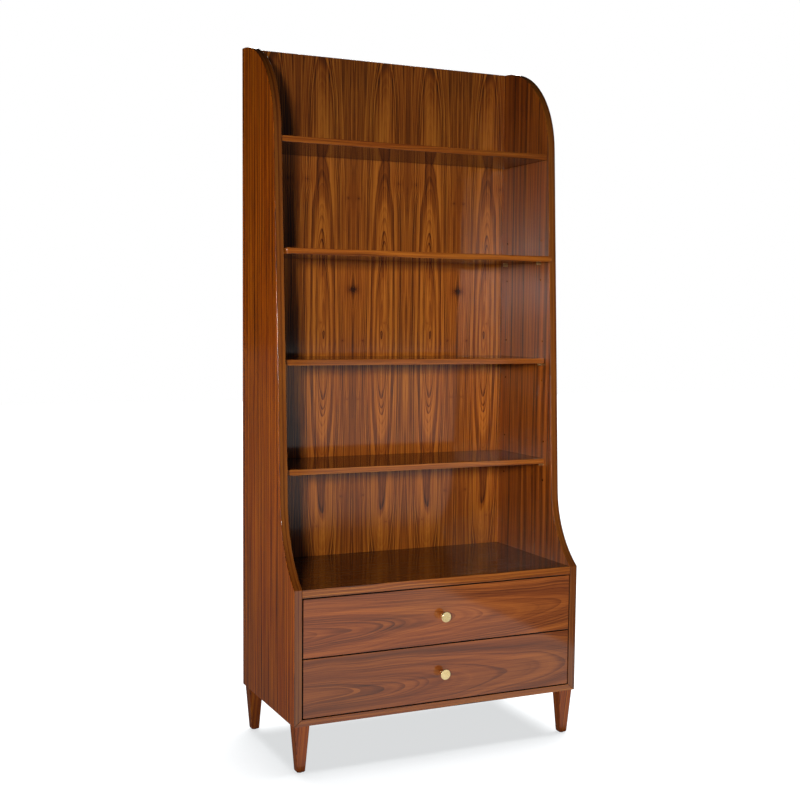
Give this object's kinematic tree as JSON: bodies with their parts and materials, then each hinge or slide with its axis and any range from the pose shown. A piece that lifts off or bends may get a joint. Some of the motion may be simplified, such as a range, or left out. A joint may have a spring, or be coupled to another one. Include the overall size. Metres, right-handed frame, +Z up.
{
  "type": "bookcase",
  "caption": "Tall open bookcase whose sides curve at the top and sweep forward into a deeper drawer base on tapered legs; shelves rest on pins in drilled rows.",
  "frame": {"origin": "on the floor, under the middle of the bounding box, knobs included", "axes": "+X to the right seen from the front, -Y the way the drawers open, +Z up"},
  "size_m": [0.95, 0.5, 2.14],
  "materials": {
    "walnut": "satin clear lacquer, vertical grain",
    "walnut_level": "satin clear lacquer, grain from side to side",
    "walnut_drawer": "satin clear lacquer, sequence-matched cathedral grain",
    "maple": "matt clear lacquer",
    "brass": "satin, lightly brushed",
    "zinc_steel": "zinc plated",
    "nylon": "matt"
  },
  "bodies": {
    "case": {"left_side": "walnut", "right_side": "walnut", "back_panel": "walnut", "back_panel_screws": "zinc_steel", "fixed_shelf": "walnut_level", "base_top": "walnut_level", "base_bottom": "walnut_level", "front_left_leg": "walnut", "front_right_leg": "walnut", "rear_left_leg": "walnut", "rear_right_leg": "walnut", "leg_bolts": "zinc_steel", "leg_inserts": "brass", "leg_glides": "nylon", "lower_shelf_pins": "brass", "middle_shelf_pins": "brass", "upper_shelf_pins": "brass", "lower_case_rails": "zinc_steel", "lower_case_rail_screws": "zinc_steel", "upper_case_rails": "zinc_steel", "upper_case_rail_screws": "zinc_steel"},
    "lower_shelf": {"lower_shelf": "walnut_level"},
    "middle_shelf": {"middle_shelf": "walnut_level"},
    "upper_shelf": {"upper_shelf": "walnut_level"},
    "lower_drawer": {"lower_drawer_front": "walnut_drawer", "lower_drawer_box_front": "maple", "lower_drawer_left_wall": "maple", "lower_drawer_right_wall": "maple", "lower_drawer_back_wall": "maple", "lower_drawer_bottom": "maple", "lower_drawer_knob": "brass", "lower_drawer_knob_screw": "zinc_steel", "lower_drawer_front_screws": "zinc_steel", "lower_drawer_runners": "zinc_steel", "lower_drawer_runner_screws": "zinc_steel"},
    "lower_slide_middle": {"lower_slide_middle_members": "zinc_steel"},
    "upper_drawer": {"upper_drawer_front": "walnut_drawer", "upper_drawer_box_front": "maple", "upper_drawer_left_wall": "maple", "upper_drawer_right_wall": "maple", "upper_drawer_back_wall": "maple", "upper_drawer_bottom": "maple", "upper_drawer_knob": "brass", "upper_drawer_knob_screw": "zinc_steel", "upper_drawer_front_screws": "zinc_steel", "upper_drawer_runners": "zinc_steel", "upper_drawer_runner_screws": "zinc_steel"},
    "upper_slide_middle": {"upper_slide_middle_members": "zinc_steel"}
  },
  "joints": [
    {"name": "lower_shelf_lift", "type": "slide", "parent": "case", "child": "lower_shelf", "axis": [0, 0, 1], "range_m": [0, 0.075]},
    {"name": "middle_shelf_lift", "type": "slide", "parent": "case", "child": "middle_shelf", "axis": [0, 0, 1], "range_m": [0, 0.075]},
    {"name": "upper_shelf_lift", "type": "slide", "parent": "case", "child": "upper_shelf", "axis": [0, 0, 1], "range_m": [0, 0.075]},
    {"name": "lower_drawer_slide", "type": "slide", "parent": "case", "child": "lower_drawer", "axis": [0, -1, 0], "range_m": [0, 0.38]},
    {"name": "lower_slide_middle_travel", "type": "slide", "parent": "case", "child": "lower_slide_middle", "axis": [0, -1, 0], "range_m": [0, 0.19]},
    {"name": "upper_drawer_slide", "type": "slide", "parent": "case", "child": "upper_drawer", "axis": [0, -1, 0], "range_m": [0, 0.38]},
    {"name": "upper_slide_middle_travel", "type": "slide", "parent": "case", "child": "upper_slide_middle", "axis": [0, -1, 0], "range_m": [0, 0.19]}
  ],
  "couplings": [
    {"joint": "lower_slide_middle_travel", "follows": "lower_drawer_slide", "ratio": 0.5},
    {"joint": "upper_slide_middle_travel", "follows": "upper_drawer_slide", "ratio": 0.5}
  ]
}
